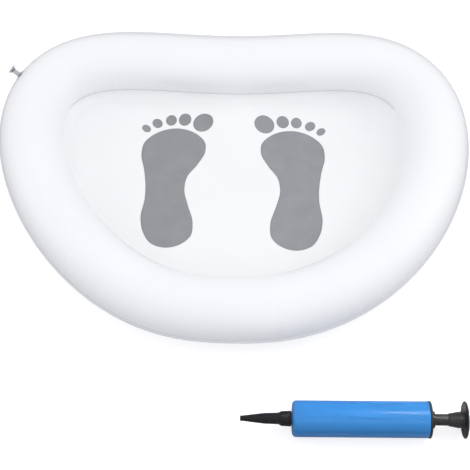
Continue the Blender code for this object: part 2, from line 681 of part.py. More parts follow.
def build_bath():
    top_skin = build_ring_top_skin()
    build_ring_bottom_skin()
    border = sheet_border()
    build_film("floor_sheet", ring_mesh(border, fill_start=True))
    layer = add_cutter("print_layer", ring_mesh(raised(border, FILM + GAP), fill_start=True), None)
    add_wall(layer, PRINT_THICKNESS)
    build_footprints(layer)
    valve = add_empty("valve", valve_matrix())
    build_valve_flange(valve, top_skin)
    build_valve_stem(valve)
    build_valve_cap(valve)
    build_valve_flap(valve)


def build_pump():
    """Lies on the ground ahead of the bath, its nozzle to the left."""
    place = Matrix.Translation((PUMP_OFFSET, PUMP_Y, END_CAP_RADIUS))
    lying = Matrix.Rotation(math.radians(PUMP_TURN_DEG), 4, "Z") @ Matrix.Rotation(math.radians(90), 4, "Y")
    pump = add_empty("pump", place @ lying)
    build_barrel(pump)
    build_outlet_check(pump)
    build_nozzle(pump)
    build_end_cap(pump)
    build_piston(pump)
    build_plunger(pump)
    build_handle(pump)


clear_scene()
parts = make_collection("foot_bath")
cutters = make_collection("cutters")
build_bath()
build_pump()
bpy.context.view_layer.update()
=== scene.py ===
import math

import bmesh
import bpy
import numpy as np
from mathutils import Matrix, Vector


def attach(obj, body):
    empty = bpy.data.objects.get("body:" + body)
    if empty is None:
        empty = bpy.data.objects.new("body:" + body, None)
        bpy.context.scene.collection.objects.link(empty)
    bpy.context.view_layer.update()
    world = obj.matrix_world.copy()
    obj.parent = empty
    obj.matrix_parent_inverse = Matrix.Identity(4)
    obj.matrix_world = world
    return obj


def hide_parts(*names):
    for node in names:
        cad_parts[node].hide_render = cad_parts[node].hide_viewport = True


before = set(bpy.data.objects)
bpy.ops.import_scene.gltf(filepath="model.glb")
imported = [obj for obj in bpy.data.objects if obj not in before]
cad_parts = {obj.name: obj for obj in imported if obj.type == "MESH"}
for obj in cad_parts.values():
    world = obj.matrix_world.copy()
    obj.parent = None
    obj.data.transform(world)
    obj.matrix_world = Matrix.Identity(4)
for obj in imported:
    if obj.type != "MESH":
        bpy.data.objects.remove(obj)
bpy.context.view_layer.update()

scene = bpy.context.scene
print("frame loaded:", len(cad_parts), "nodes")


# Camera, at the photograph's angle

view = {
    "target": (0.0026, -0.0827, 0.0),
    "distance": 1.696,
    "elevation": 60.0,
    "lens": 81.19,  # mm on a 36 mm sensor
}

slope = math.radians(view["elevation"])
cameraData = bpy.data.cameras.new("camera")
cameraData.lens = view["lens"]
cameraData.sensor_width = 36
camera = bpy.data.objects.new("camera", cameraData)
camera.location = Vector(view["target"]) + view["distance"] * Vector((0, -math.cos(slope), math.sin(slope)))
camera.rotation_euler = (math.pi / 2 - slope, 0, 0)
scene.collection.objects.link(camera)
scene.camera = camera
print("camera placed")


# Mesh tools

meshing = {
    "merge": 1e-6,  # vertices nearer than this become one
    "onAxis": 1e-7,  # a corner nearer to the axis than this stays sharp
    "cornerShare": 0.45,  # most of a side that the curve at its corner may take
    "roundRows": 9,  # of a quarter circle
}


def gridMesh(name, grid, loopRows=False, loopColumns=False):
    # grid[i, j] is a point of the surface; neighbouring rows and columns are joined by quads
    rows, columns = grid.shape[:2]
    number = np.arange(rows * columns).reshape(rows, columns)
    if loopRows:
        number = np.vstack([number, number[:1]])
    if loopColumns:
        number = np.hstack([number, number[:, :1]])
    corners = [number[:-1, :-1], number[1:, :-1], number[1:, 1:], number[:-1, 1:]]
    quads = np.stack(corners, axis=-1).reshape(-1, 4)
    mesh = bpy.data.meshes.new(name)
    mesh.vertices.add(rows * columns)
    mesh.vertices.foreach_set("co", grid.astype(np.float32).reshape(-1))
    mesh.loops.add(quads.size)
    mesh.loops.foreach_set("vertex_index", quads.astype(np.int32).reshape(-1))
    mesh.polygons.add(len(quads))
    mesh.polygons.foreach_set("loop_start", np.arange(len(quads), dtype=np.int32) * 4)
    mesh.update(calc_edges=True)
    return mesh


def setAttribute(mesh, name, values):
    # one value per vertex, in the grid's order
    mesh.attributes.new(name, "FLOAT", "POINT").data.foreach_set("value", values.astype(np.float32).reshape(-1))


def mergeDoubles(mesh, turnOutwards):
    # vertices that lie together become one, as at poles and where a band meets its own start
    shape = bmesh.new()
    shape.from_mesh(mesh)
    bmesh.ops.remove_doubles(shape, verts=shape.verts, dist=meshing["merge"])
    if turnOutwards:
        bmesh.ops.recalc_face_normals(shape, faces=shape.faces)
    shape.to_mesh(mesh)
    shape.free()


def faceUp(mesh):
    # a sheet whose faces point down on the whole is turned over
    if sum(face.normal.z for face in mesh.polygons) < 0:
        mesh.flip_normals()


def addPiece(name, mesh, material, body, nodes, sharpAngle=40):
    # smooth but for edges sharper than the angle in degrees; it rides on a body in place of the CAD nodes
    mesh.shade_smooth()
    mesh.set_sharp_from_angle(angle=math.radians(sharpAngle))
    piece = bpy.data.objects.new(name, mesh)
    scene.collection.objects.link(piece)
    mesh.materials.append(material)
    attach(piece, body)
    if nodes:
        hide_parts(*nodes)
    return piece


def addFilmThickness(piece, thickness):
    # the film is thickened inwards from its outer face
    wall = piece.modifiers.new("film", "SOLIDIFY")
    wall.thickness = thickness
    wall.offset = -1
    wall.use_even_offset = True


def softCorners(points, radius, steps=5):
    # each corner becomes a short quadratic curve that starts and ends one radius away from it
    corner = np.array(points, float)
    before, after = np.roll(corner, 1, axis=0), np.roll(corner, -1, axis=0)
    toBefore, toAfter = before - corner, after - corner
    lengthBefore = np.linalg.norm(toBefore, axis=1) + 1e-9
    lengthAfter = np.linalg.norm(toAfter, axis=1) + 1e-9
    reach = np.minimum(radius, meshing["cornerShare"] * np.minimum(lengthBefore, lengthAfter))
    reach = np.where(corner[:, 0] < meshing["onAxis"], 0, reach)
    start = corner + toBefore * (reach / lengthBefore)[:, None]
    end = corner + toAfter * (reach / lengthAfter)[:, None]
    t = np.linspace(0, 1, steps)[None, :, None]
    curve = start[:, None] * (1 - t) ** 2 + corner[:, None] * 2 * t * (1 - t) + end[:, None] * t ** 2
    return curve.reshape(-1, 2)


def turnedMesh(name, profile, place, steps=96, closed=True):
    # a profile of radius and height carried round the local Z axis, then put in place
    around = np.arange(steps) / steps * 2 * np.pi
    radius, height = profile[:, 0][:, None], profile[:, 1][:, None]
    grid = np.stack([radius * np.cos(around), radius * np.sin(around), height + 0 * around], axis=-1)
    mesh = gridMesh(name, inPlace(grid, place), loopRows=closed, loopColumns=True)
    mergeDoubles(mesh, turnOutwards=True)
    return mesh


def inPlace(grid, place):
    # turned by the place's rotation, then moved to its origin
    turn = np.array(place.to_3x3())
    return grid @ turn.T + np.array(place.translation)


# Material tools

def newMaterial(name, colour, roughness, **sockets):
    # further sockets are named with underscores in place of spaces
    material = bpy.data.materials.new(name)
    material.use_nodes = True
    shader = material.node_tree.nodes["Principled BSDF"]
    shader.inputs["Base Color"].default_value = (*colour, 1)
    shader.inputs["Roughness"].default_value = roughness
    for socket, value in sockets.items():
        shader.inputs[socket.replace("_", " ")].default_value = value
    material.diffuse_color = (*colour, 1)
    return material, material.node_tree, shader


def addNode(tree, kind, inputs=None, **settings):
    # settings are the node's own, inputs the values of its sockets
    node = tree.nodes.new(kind)
    for key, value in settings.items():
        setattr(node, key, value)
    for key, value in (inputs or {}).items():
        node.inputs[key].default_value = value
    return node


def newGroup(name, inputs, outputs):
    # inputs are label, kind and value, outputs label and kind
    group = bpy.data.node_groups.new(name, "ShaderNodeTree")
    for label, kind, value in inputs:
        socket = group.interface.new_socket(label, in_out="INPUT", socket_type=kind)
        if value is not None:
            socket.default_value = value
    for label, kind in outputs:
        group.interface.new_socket(label, in_out="OUTPUT", socket_type=kind)
    return group, group.nodes.new("NodeGroupInput"), group.nodes.new("NodeGroupOutput")


def placeGroup(tree, group, **values):
    # values are given by the label of the group's input
    node = tree.nodes.new("ShaderNodeGroup")
    node.node_tree = group
    for label, value in values.items():
        node.inputs[label].default_value = value
    return node


def makeGrain():
    # fine moulding grain and broad cloudiness: a height for bumps and a factor round 1 for colour and roughness
    inputs = [("Fine", "NodeSocketFloat", 1500.0), ("Broad", "NodeSocketFloat", 25.0),
              ("Cloud", "NodeSocketFloat", 0.06), ("Stretch", "NodeSocketVector", (1.0, 1.0, 1.0))]
    group, source, result = newGroup("grain", inputs, [("Height", "NodeSocketFloat"), ("Factor", "NodeSocketFloat")])
    where = addNode(group, "ShaderNodeTexCoord")
    stretch = addNode(group, "ShaderNodeMapping")
    fine = addNode(group, "ShaderNodeTexNoise", {"Detail": 3.0, "Roughness": 0.6})
    broad = addNode(group, "ShaderNodeTexNoise", {"Detail": 4.0, "Roughness": 0.55})
    spread = addNode(group, "ShaderNodeMapRange", {"From Min": 0.3, "From Max": 0.7})
    low = addNode(group, "ShaderNodeMath", {0: 1.0}, operation="SUBTRACT")
    high = addNode(group, "ShaderNodeMath", {0: 1.0}, operation="ADD")
    link = group.links.new
    link(where.outputs["Object"], stretch.inputs["Vector"])
    link(source.outputs["Stretch"], stretch.inputs["Scale"])
    link(stretch.outputs["Vector"], fine.inputs["Vector"])
    link(stretch.outputs["Vector"], broad.inputs["Vector"])
    link(source.outputs["Fine"], fine.inputs["Scale"])
    link(source.outputs["Broad"], broad.inputs["Scale"])
    link(broad.outputs["Fac"], spread.inputs["Value"])
    link(source.outputs["Cloud"], low.inputs[1])
    link(source.outputs["Cloud"], high.inputs[1])
    link(low.outputs[0], spread.inputs["To Min"])
    link(high.outputs[0], spread.inputs["To Max"])
    link(spread.outputs["Result"], result.inputs["Factor"])
    link(fine.outputs["Fac"], result.inputs["Height"])
    return group


grain = makeGrain()


def tintByGrain(tree, shader, colour, roughness, bumpDepth, bumpStrength=0.3, **values):
    # multiplies a colour and a roughness by the grain's cloudiness and bumps the surface with its fine height
    group = placeGroup(tree, grain, **values)
    link = tree.links.new
    tint = addNode(tree, "ShaderNodeVectorMath", operation="SCALE")
    if isinstance(colour, tuple):
        tint.inputs[0].default_value = colour
    else:
        link(colour, tint.inputs[0])
    link(group.outputs["Factor"], tint.inputs["Scale"])
    link(tint.outputs["Vector"], shader.inputs["Base Color"])
    rough = addNode(tree, "ShaderNodeMath", {1: roughness}, operation="MULTIPLY")
    link(group.outputs["Factor"], rough.inputs[0])
    link(rough.outputs[0], shader.inputs["Roughness"])
    bump = addNode(tree, "ShaderNodeBump", {"Strength": bumpStrength, "Distance": bumpDepth})
    link(group.outputs["Height"], bump.inputs["Height"])
    link(bump.outputs["Normal"], shader.inputs["Normal"])
    return bump


film = {
    "colour": (0.93, 0.93, 0.945),
    # grey of the weld lips: partly the welded film's own tone, partly painted shade for the dark line along the
    # outer edge and in the inner crease
    "weldGreyAndPaintedLight": (0.68, 0.69, 0.72),
    "floorColour": (0.93, 0.93, 0.94),
    "paintedLightRimColour": (0.985, 0.985, 0.99),  # painted light: the floor is paler beside its weld, to lift the shade of the crease
    "roughness": 0.42,
    "grainDepth": 0.00004,
    "ribDepth": 0.00012,  # of the pattern pressed into the weld
    "ribStrength": 0.6,
    "fine": 900.0,
    "broad": 9.0,
    "cloud": 0.008,
}


def makeFilm(name, colour, weldGreyAndPaintedLight):
    # white film; the attribute weld brings in the second colour, and rib is the height of the pattern in a lip. On
    # the ring the second colour is the lips' grey, partly the welded film's own tone and partly painted shade along
    # the outer edge and in the inner crease; on the floor it is painted light, a paler rim beside the weld
    material, tree, shader = newMaterial(name, colour, film["roughness"])
    link = tree.links.new
    weld = addNode(tree, "ShaderNodeAttribute", attribute_name="weld")
    rib = addNode(tree, "ShaderNodeAttribute", attribute_name="rib")
    mix = addNode(tree, "ShaderNodeMix", data_type="RGBA")
    mix.inputs["A"].default_value = (*colour, 1)
    mix.inputs["B"].default_value = (*weldGreyAndPaintedLight, 1)
    link(weld.outputs["Fac"], mix.inputs["Factor"])
    bump = tintByGrain(tree, shader, mix.outputs["Result"], film["roughness"], film["grainDepth"],
                       Fine=film["fine"], Broad=film["broad"], Cloud=film["cloud"])
    ribs = addNode(tree, "ShaderNodeBump", {"Strength": film["ribStrength"], "Distance": film["ribDepth"]})
    link(rib.outputs["Fac"], ribs.inputs["Height"])
    link(bump.outputs["Normal"], ribs.inputs["Normal"])
    link(ribs.outputs["Normal"], shader.inputs["Normal"])
    return material


def makePlain(name, colour, roughness, bumpDepth, cloud, fine=1500.0, broad=25.0, stretch=(1.0, 1.0, 1.0),
              **sockets):
    # one colour with the grain on it
    material, tree, shader = newMaterial(name, colour, roughness, **sockets)
    tintByGrain(tree, shader, colour, roughness, bumpDepth, Fine=fine, Broad=broad, Cloud=cloud, Stretch=stretch)
    return material


ringFilm = makeFilm("ringFilm", film["colour"], film["weldGreyAndPaintedLight"])
# the floor's second colour is painted light: a paler rim beside the weld
floorFilm = makeFilm("floorFilm", film["floorColour"], film["paintedLightRimColour"])
# the same grey print twice; the right copy is painted a shade lighter than the left: painted light
greyPrintLitAndShaded = {side: makePlain("greyPrintLitAndShaded" + side.title(), colour, 0.5, 0.00003, 0.06, fine=600.0, broad=30.0)
             for side, colour in (("left", (0.290, 0.293, 0.308)), ("right", (0.306, 0.309, 0.328)))}
clearVinyl = makePlain("clearVinyl", (0.66, 0.67, 0.69), 0.06, 0.00002, 0.03, Transmission_Weight=0.95, IOR=1.53)
clearCap = makePlain("clearCap", (0.40, 0.405, 0.42), 0.08, 0.00002, 0.03, Transmission_Weight=0.9, IOR=1.53)
bluePlastic = makePlain("bluePlastic", (0.016, 0.176, 0.475), 0.13, 0.00001, 0.05, fine=300.0, broad=60.0,
                        stretch=(0.06, 1.0, 1.0))
blackPlastic = makePlain("blackPlastic", (0.007, 0.007, 0.008), 0.41, 0.00002, 0.15)
blackNozzle = makePlain("blackNozzle", (0.004, 0.004, 0.005), 0.42, 0.00002, 0.15, Specular_IOR_Level=0.25)
blackRubber = makePlain("blackRubber", (0.02, 0.02, 0.02), 0.75, 0.00003, 0.15)
greyNylon = makePlain("greyNylon", (0.35, 0.36, 0.38), 0.42, 0.00002, 0.06)
print("materials made")


# The bean outline that ring and floor follow

bean = {
    "width": 0.770,
    "depth": 0.583,
    "widthWaves": (1, 0.1349, -0.0625),  # sines of one, two and three turns
    "widthSkew": (0, -0.0090, 0.0160),
    "depthWaves": (1, -0.0738, -0.1283),  # cosines of one, two and three turns
    "depthSkew": (0, 0.0016, -0.0057),
    "tubeHalf": 0.0508,
    "tubeRise": 0.0457,
    "tubeCentre": 0.0442,
    "lip": 0.004,
    "innerLip": 0.003,
    "film": 0.0005,
    "gap": 0.0003,
    "seamAngle": 225.0,  # of the inner weld, from the outer side over the top
    "stations": 960,
}


def beanCurve(turn):
    # sums of sines across and cosines along, as rows of x and y
    order = np.arange(1, 4)[:, None]
    sines, cosines = np.sin(order * turn), np.cos(order * turn)
    across = np.array(bean["widthWaves"]) @ sines + np.array(bean["widthSkew"]) @ cosines
    along = np.array(bean["depthWaves"]) @ cosines + np.array(bean["depthSkew"]) @ sines
    return np.stack([across, along], axis=1)


def beanFrames(count):
    # centreline points at even steps of length, with their outward normals and the length from the start
    turn = np.linspace(0, 2 * np.pi, 4 * count + 1)
    curve = beanCurve(turn)
    low, high = curve.min(axis=0), curve.max(axis=0)
    border = 2 * (bean["tubeHalf"] + bean["lip"])
    curve = (curve - (low + high) / 2) / (high - low) * np.array([bean["width"] - border, bean["depth"] - border])
    length = np.concatenate([[0], np.cumsum(np.linalg.norm(np.diff(curve, axis=0), axis=1))])
    even = np.arange(count) / count * length[-1]
    points = np.stack([np.interp(even, length, curve[:, 0]), np.interp(even, length, curve[:, 1])], axis=1)
    along = np.roll(points, -1, axis=0) - np.roll(points, 1, axis=0)
    normals = np.stack([-along[:, 1], along[:, 0]], axis=1)
    normals /= np.linalg.norm(normals, axis=1)[:, None]
    return points, normals, even / length[-1]


beanPoints, beanNormals, beanShare = beanFrames(bean["stations"])


def tubePoint(angle):
    # reach from the centreline and height on the tube's oval, at degrees from its outer side over the top
    radians = np.radians(angle)
    reach = bean["tubeHalf"] * np.cos(radians)
    height = bean["tubeCentre"] + bean["tubeRise"] * np.sin(radians)
    return np.stack([reach, np.maximum(height, 0)], axis=-1)


def ripple(share, counts, phases, weights):
    # whole waves round the outline added up, so the pattern closes on itself
    waves = np.sin(2 * np.pi * np.outer(counts, share) + np.array(phases)[:, None])
    return np.array(weights) @ waves


patchWeights = (0.6, 0.4)  # of the two slow waves that let dents and folds come and go

skin = {
    "puckerCounts": (61, 97, 139, 173),
    "puckerPhases": (0.3, 1.9, 4.1, 2.6),
    "puckerWeights": (0.30, 0.32, 0.24, 0.14),
    "puckerPatchCounts": (5, 8),
    "puckerPatchPhases": (0.8, 2.2),
    "puckerPatchMean": 0.55,
    "puckerPatchSwing": 0.45,
    "puckerDepth": 0.0007,  # dents of the film beside the outer weld
    "puckerFade": 0.011,
    "lipWave": 0.0003,
    "lipLag": 7,  # stations by which the lip's wave in and out trails its wave up and down
    "swellCounts": (5, 9, 14),
    "swellPhases": (0.5, 3.3, 1.2),
    "swellWeights": (0.5, 0.3, 0.2),
    "swellHeight": 0.0008,  # slow unevenness of the air-filled tube
    "swellFade": 0.03,  # distance from a weld over which it grows
    "ribs": 1300,  # pressed into the outer weld
    "weldTurn": 15.0,  # how many degrees higher the outer weld sits at the back
    "lipTilt": 22.0,  # degrees that its lip points up there
    "paintedLightBack": 0.2,  # painted light: share of the weld's grey taken away where the outline faces the back, so the back weld reads lighter
    "backDraws": ((0.0022, 38.0, 20.0), (0.0028, 205.0, 34.0)),  # how far the tube draws in there, angle and span
    "drawFade": 0.012,
    "lipTuck": 0.67,  # share of the inner lip that is tucked away there
    "topAngles": (2.2, 221.0, 84),  # first, last and number of rows
    "bottomAngles": (357.8, 229.0, 64),
    "outerRows": 6,  # across the outer lip
    "innerRows": 3,
    "lipStart": 0.0006,
}


def sweptSkin(name, angle, lip, shift, tuck, lipShare):
    # tube angles carried round the outline, dented beside the weld and swelling slowly; at the back the rows near
    # the outer weld turn up with it, by a share that falls with the square of the angle, and bell curves of the
    # angle draw the tube in
    share = beanShare
    facingBack = np.clip(beanNormals[:, 1], 0, 1)[None]
    fromWeld = np.minimum(angle, 360 - angle) / 90
    turned = angle[:, None] + skin["weldTurn"] * (np.clip(1 - fromWeld, 0, 1) ** 2)[:, None] * facingBack
    tilt = np.radians(skin["lipTilt"]) * facingBack
    point = tubePoint(turned)
    out, up = lip[:, 0][:, None], lip[:, 1][:, None]
    reach = point[..., 0] + out * np.cos(tilt) - up * np.sin(tilt) + shift[:, 0][:, None] - tuck[:, :1] * facingBack
    height = point[..., 1] + out * np.sin(tilt) + up * np.cos(tilt) + shift[:, 1][:, None] - tuck[:, 1:] * facingBack
    steps = np.hypot(np.diff(reach[:, 0]), np.diff(height[:, 0]))
    length = np.concatenate([[0], np.cumsum(steps)])
    tube = np.where(lipShare < 1)[0]
    seamDistance = np.clip(np.minimum(length - length[tube[0] - 1], length[tube[-1] + 1] - length), 0, None)
    normalReach = np.cos(np.radians(turned)) / bean["tubeHalf"]
    normalHeight = np.sin(np.radians(turned)) / bean["tubeRise"]
    size = np.hypot(normalReach, normalHeight)
    patches = ripple(share, skin["puckerPatchCounts"], skin["puckerPatchPhases"], patchWeights)
    patch = skin["puckerPatchMean"] + skin["puckerPatchSwing"] * patches
    pucker = ripple(share, skin["puckerCounts"], skin["puckerPhases"], skin["puckerWeights"]) * patch
    swell = ripple(share, skin["swellCounts"], skin["swellPhases"], skin["swellWeights"])
    beside = seamDistance / skin["puckerFade"]
    dent = skin["puckerDepth"] * beside * np.exp(1 - beside) * (1 - lipShare)
    body = np.clip(seamDistance / skin["swellFade"], 0, 1) * (1 - lipShare)
    drawBody = np.clip(seamDistance / skin["drawFade"], 0, 1) * (1 - lipShare)
    draw = sum(depth * np.exp(-((turned - centre) / span) ** 2) for depth, centre, span in skin["backDraws"])
    push = dent[:, None] * pucker[None] + skin["swellHeight"] * body[:, None] * swell[None]
    push = push - draw * facingBack * drawBody[:, None]
    wave = skin["lipWave"] * lipShare[:, None]
    reach = reach + push * normalReach / size + wave * np.roll(pucker, skin["lipLag"])[None]
    height = height + push * normalHeight / size + wave * pucker[None]
    grid = np.empty((len(angle), len(share), 3))
    grid[..., 0] = beanPoints[:, 0][None] + beanNormals[:, 0][None] * reach
    grid[..., 1] = beanPoints[:, 1][None] + beanNormals[:, 1][None] * reach
    grid[..., 2] = np.maximum(height, 0.0)
    mesh = gridMesh(name, grid, loopColumns=True)
    ribs = 0.5 + 0.5 * np.cos(2 * np.pi * skin["ribs"] * share)
    # the weld mask carries the lips' grey (own tone and painted shade), painted lighter where the outline faces back
    # (painted light)
    setAttribute(mesh, "weld", lipShare[:, None] * (1 - skin["paintedLightBack"] * facingBack))
    setAttribute(mesh, "rib", lipShare[:, None] * ribs[None])
    return mesh


def seamLayers():
    # inner weld: where it starts, which way its lips run, and the way up through its layers
    start = tubePoint(bean["seamAngle"])
    radians = math.radians(bean["seamAngle"])
    outward = np.array([math.cos(radians) / bean["tubeHalf"], math.sin(radians) / bean["tubeRise"]])
    outward /= np.linalg.norm(outward)
    return start, outward, np.array([outward[1], -outward[0]])


def makeSkin(name, tubeAngles, side, nodes):
    # rows from the outer lip's edge over the tube to the inner lip's edge; side is 1 above the weld and -1 below it
    outward, upward = seamLayers()[1:]
    outerRows, innerRows = skin["outerRows"], skin["innerRows"]
    outerAngle = 0 if side > 0 else 360
    angle = np.concatenate([np.full(outerRows, outerAngle), np.linspace(*tubeAngles),
                            np.full(innerRows, bean["seamAngle"])])
    lip = np.zeros((len(angle), 2))
    lip[:outerRows, 0] = np.linspace(bean["lip"], skin["lipStart"], outerRows)
    lip[:outerRows, 1] = side * (bean["gap"] / 2 + bean["film"])
    shift = np.zeros((len(angle), 2))
    stack = bean["film"] / 2 + bean["gap"] + bean["film"]
    along = np.linspace(0, bean["innerLip"], innerRows)[:, None]
    shift[-innerRows:] = side * upward * stack + outward * along
    tuck = np.zeros((len(angle), 2))
    tuck[-innerRows:] = skin["lipTuck"] * outward * along
    lipShare = np.zeros(len(angle))
    lipShare[:outerRows] = 1
    lipShare[outerRows] = 0.5
    lipShare[-innerRows:] = 1
    mesh = sweptSkin(name, angle, lip, shift, tuck, lipShare)
    if side < 0:
        mesh.flip_normals()
    piece = addPiece(name, mesh, ringFilm, "bath", nodes, 50)
    addFilmThickness(piece, bean["film"])


makeSkin("ringTop", skin["topAngles"], 1, ["ring_top_skin"])
makeSkin("ringBottom", skin["bottomAngles"], -1, ["ring_bottom_skin"])
print("ring made")


# Floor sheet

floor = {
    "bend": 0.012,
    "bendRows": 12,
    "tailStart": 0.0008,  # how far from the weld the sheet begins
    "tailRows": 8,
    "centre": (0.0, -0.01),
    "waves": ((1.0, 31, 12, 0.4), (1.0, -17, 29, 2.1), (0.6, 57, -23, 4.0)),  # weight, across, along, phase
    "waveHeight": 0.0008,
    "foldHeight": 0.0011,  # of the small folds that run in from the weld
    "foldFade": 0.016,
    "foldTail": 0.3,  # how much faster than that they flatten out
    "foldCounts": (43, 71, 101),
    "foldPhases": (0.7, 2.9, 5.1),
    "foldWeights": (0.4, 0.35, 0.25),
    "foldPatchCounts": (4, 7),
    "foldPatchPhases": (1.0, 3.0),
    "paintedLightRimFade": 0.25,  # share of the way to the middle over which the painted light of the rim fades
    "stations": 480,
    "rings": 60,
}


def sheetBorder():
    # top of the sheet from the weld down to the flat ground, as reaches and heights
    start, outward, upward = seamLayers()
    underside = start - upward * (bean["film"] / 2)
    knee = underside + outward * (underside[1] / -outward[1])
    bendTop = knee - outward * floor["bend"]
    bendEnd = np.array([knee[0] - floor["bend"], 0])
    t = np.linspace(0, 1, floor["bendRows"])[:, None]
    bend = bendTop * (1 - t) ** 2 + knee * 2 * t * (1 - t) + bendEnd * t ** 2
    tail = np.linspace(underside + outward * floor["tailStart"], bendTop, floor["tailRows"])[:-1]
    return np.vstack([tail, bend]) + np.array([0, bean["film"]])


border = sheetBorder()
sheetPick = slice(None, None, bean["stations"] // floor["stations"])
sheetPoints, sheetNormals, sheetShare = beanPoints[sheetPick], beanNormals[sheetPick], beanShare[sheetPick]
sheetRim = sheetPoints + sheetNormals * border[-1, 0]


def sheetLift(x, y):
    # slow waves over the ground, and folds that run in square to the rim and fade with the distance from it
    flat = np.stack([x.ravel(), y.ravel()], axis=1)
    gaps = np.linalg.norm(flat[:, None] - sheetRim[None], axis=2)
    share = sheetShare[np.argmin(gaps, axis=1)]
    inside = gaps.min(axis=1) / floor["foldFade"]
    fold = ripple(share, floor["foldCounts"], floor["foldPhases"], floor["foldWeights"])
    fold *= 0.5 + 0.5 * ripple(share, floor["foldPatchCounts"], floor["foldPatchPhases"], patchWeights)
    fade = inside * np.exp(1 - inside) * np.exp(-inside * floor["foldTail"])
    folds = floor["foldHeight"] * fade * np.maximum(fold, 0)
    waves = sum(weight * np.sin(across * x + along * y + phase) for weight, across, along, phase in floor["waves"])
    span = 2 * sum(wave[0] for wave in floor["waves"])  # so that the waves stay between no height and all of it
    return folds.reshape(x.shape) + floor["waveHeight"] * (0.5 + waves / span)


def makeFloor():
    # the border all round, then rings that shrink towards the middle
    rim = np.empty((len(border), len(sheetShare), 3))
    rim[..., :2] = sheetPoints[None] + sheetNormals[None] * border[:, 0][:, None, None]
    rim[..., 2] = border[:, 1][:, None]
    shrink = np.linspace(1, 0, floor["rings"])[1:, None, None]
    middle = np.array([*floor["centre"], bean["film"]])
    grid = np.concatenate([rim, middle + (rim[-1][None] - middle) * shrink])
    rise = np.clip(np.arange(len(grid)) / (len(border) - 1), 0, 1) ** 3  # the lift starts in the bend
    grid[..., 2] += sheetLift(grid[..., 0], grid[..., 1]) * rise[:, None]
    mesh = gridMesh("floorSheet", grid, loopColumns=True)
    inward = np.concatenate([np.zeros(len(border)), np.linspace(0, 1, floor["rings"])[1:]])
    # painted light: the mask is full along the border beside the weld and fades towards the middle, so the floor
    # there is paler
    setAttribute(mesh, "weld", np.broadcast_to(np.exp(-inward / floor["paintedLightRimFade"])[:, None], grid.shape[:2]))
    mergeDoubles(mesh, turnOutwards=False)
    faceUp(mesh)
    piece = addPiece("floorSheet", mesh, floorFilm, "bath", ["floor_sheet"], 60)
    addFilmThickness(piece, bean["film"])


makeFloor()
print("floor sheet made")


# Footprints

footprint = {
    "length": 0.261,
    "thickness": 0.00010,
    "lift": 0.00012,
    "edgePoints": 150,
    "rungs": 25,
    "toeSteps": 72,
    "toeRings": 9,
    "places": {"left": (-0.10572, 0.01189, 0.0), "right": (0.10203, 0.00641, -2.2)},  # across, along, degrees
    "leftSide": ((0.031, 0.435), (-0.038, 0.423), (-0.115, 0.383), (-0.169, 0.322), (-0.184, 0.238), (-0.161, 0.107),
                 (-0.148, -0.019), (-0.149, -0.096), (-0.169, -0.245), (-0.153, -0.337), (-0.103, -0.421),
                 (-0.015, -0.454)),
    "rightSide": ((0.031, 0.435), (0.161, 0.395), (0.222, 0.322), (0.224, 0.253), (0.180, 0.161), (0.111, 0.057),
                  (0.097, -0.038), (0.119, -0.142), (0.153, -0.276), (0.142, -0.372), (0.077, -0.433),
                  (-0.015, -0.454)),
    "toes": (  # across, along, half width, half height, degrees
             (0.208, 0.482, 0.062, 0.074, -29), (0.089, 0.505, 0.040, 0.049, -12), (0.000, 0.500, 0.035, 0.042, -5),
             (-0.090, 0.476, 0.032, 0.038, 28), (-0.160, 0.435, 0.025, 0.033, 41)),
}


def smoothCurve(points, count):
    # cubics through points whose first and last neighbours carry the curve past its ends;
    # the slope at a point weighs its two chords by the length of the other one
    p = np.array(points, float)
    chord = np.linalg.norm(np.diff(p, axis=0), axis=1)
    gain = np.diff(p, axis=0) / chord[:, None]
    share = (chord[:-1] / (chord[:-1] + chord[1:]))[:, None]
    slope = gain[:-1] * (1 - share) + gain[1:] * share
    knots = np.concatenate([[0], np.cumsum(chord[1:-1])])
    s = np.linspace(0, knots[-1], count)
    i = np.clip(np.searchsorted(knots, s, side="right") - 1, 0, len(knots) - 2)
    span = chord[1:-1][i][:, None]
    t = ((s - knots[i])[:, None]) / span
    here, there = p[1:-1][i], p[1:-1][i + 1]
    return ((1 + 2 * t) * (1 - t) ** 2 * here + t * (1 - t) ** 2 * span * slope[i]
            + t ** 2 * (3 - 2 * t) * there - t ** 2 * (1 - t) * span * slope[i + 1])


def printPlace(side):
    # the foot's middle, and its turn on the floor
    x, y, turn = footprint["places"][side]
    return Matrix.Translation((x, y, 0)) @ Matrix.Rotation(math.radians(turn), 4, "Z")


def addPrint(name, flat, side, hand, node, loopColumns=False):
    # a flat patch in the foot's own frame, laid on the floor sheet
    grid = np.zeros((*flat.shape[:2], 3))
    grid[..., :2] = flat * footprint["length"]
    grid[..., 0] *= hand
    grid = inPlace(grid, printPlace(side))
    grid[..., 2] = bean["film"] + sheetLift(grid[..., 0], grid[..., 1]) + footprint["lift"] + footprint["thickness"]
    mesh = gridMesh(name, grid, loopColumns=loopColumns)
    mergeDoubles(mesh, turnOutwards=False)
    faceUp(mesh)
    piece = addPiece(name, mesh, greyPrintLitAndShaded[side], "bath", [node])
    addFilmThickness(piece, footprint["thickness"])


